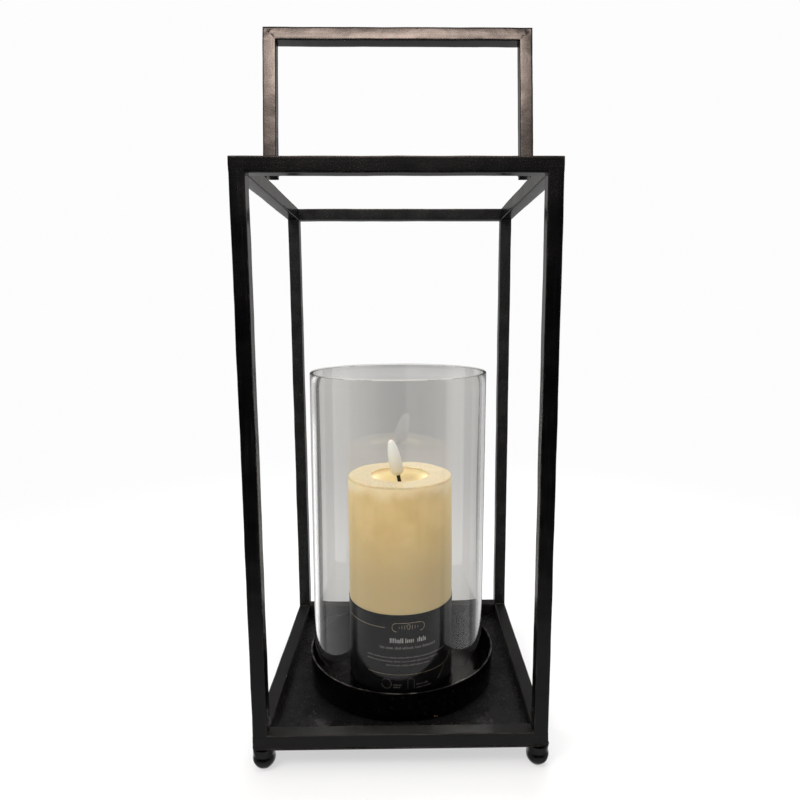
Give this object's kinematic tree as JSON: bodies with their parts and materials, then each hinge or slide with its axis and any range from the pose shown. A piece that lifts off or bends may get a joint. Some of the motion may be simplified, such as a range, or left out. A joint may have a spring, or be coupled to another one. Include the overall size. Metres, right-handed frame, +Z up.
{
  "type": "candle lantern",
  "caption": "Tall square bar-frame lantern on ball feet with a swing handle, a round dish, an open glass cylinder and a battery pillar candle.",
  "frame": {"origin": "centre of the footprint, on the floor plane under the four ball feet", "axes": "+Z up; -Y is the front; +X to the right seen from the front; the handle's hinge axis lies along X"},
  "size_m": [0.188, 0.1834, 0.4661],
  "materials": {
    "black_paint": "satin",
    "clear_glass": "gloss",
    "ivory_wax": "satin",
    "label_paper": "matte",
    "white_plastic": "satin",
    "cell_jacket": "gloss",
    "nickel_steel": "satin",
    "switch_black": "satin",
    "board_green": "satin",
    "wire_red": "satin",
    "wire_black": "satin",
    "wick_black": "matte",
    "milky_diffuser": "satin",
    "led_epoxy": "gloss"
  },
  "bodies": {
    "frame": {"post_front_left": "black_paint", "post_front_right": "black_paint", "post_back_left": "black_paint", "post_back_right": "black_paint", "rail_top_front": "black_paint", "rail_top_back": "black_paint", "rail_top_left": "black_paint", "rail_top_right": "black_paint", "rail_bottom_front": "black_paint", "rail_bottom_back": "black_paint", "rail_bottom_left": "black_paint", "rail_bottom_right": "black_paint", "base_plate": "black_paint", "foot_front_left": "black_paint", "foot_front_right": "black_paint", "foot_back_left": "black_paint", "foot_back_right": "black_paint", "candle_dish": "black_paint", "hinge_tab_left": "black_paint", "hinge_tab_right": "black_paint", "hinge_rivet_left": "black_paint", "hinge_rivet_right": "black_paint"},
    "handle": {"handle_leg_left": "black_paint", "handle_leg_right": "black_paint", "handle_top_bar": "black_paint"},
    "glass": {"glass_cylinder": "clear_glass"},
    "candle": {"wax_shell": "ivory_wax", "paper_label": "label_paper", "battery_housing": "white_plastic", "battery_left": "cell_jacket", "battery_right": "cell_jacket", "spring_contact": "nickel_steel", "button_contact": "nickel_steel", "circuit_board": "board_green", "board_screw_left": "nickel_steel", "board_screw_right": "nickel_steel", "lead_wire_red": "wire_red", "lead_wire_black": "wire_black", "wick_socket": "wick_black"},
    "battery_door": {"battery_cover": "white_plastic", "bridge_contact": "nickel_steel"},
    "switch": {"switch_slider": "switch_black"},
    "flame": {"wick": "wick_black", "flame_bulb": "milky_diffuser", "flame_led": "led_epoxy"}
  },
  "joints": [
    {"name": "handle_swing", "type": "hinge", "parent": "frame", "child": "handle", "pos_m": [0, 0, 0.3715], "axis": [1, 0, 0], "range_deg": [-85.7, 102.1]},
    {"name": "glass_lift", "type": "slide", "parent": "frame", "child": "glass", "axis": [0, 0, 1], "range_m": [0, 0.185]},
    {"name": "candle_lift", "type": "slide", "parent": "frame", "child": "candle", "axis": [0, 0, 1], "range_m": [0, 0.225]},
    {"name": "battery_cover_slide", "type": "slide", "parent": "candle", "child": "battery_door", "axis": [0, 1, 0], "range_m": [0, 0.005]},
    {"name": "switch_slide", "type": "slide", "parent": "candle", "child": "switch", "axis": [1, 0, 0], "range_m": [-0.0016, 0.0016]},
    {"name": "wick_bend", "type": "hinge", "parent": "candle", "child": "flame", "pos_m": [-0.0006, 0, 0.156], "axis": [0, 1, 0], "range_deg": [-10, 38]}
  ]
}
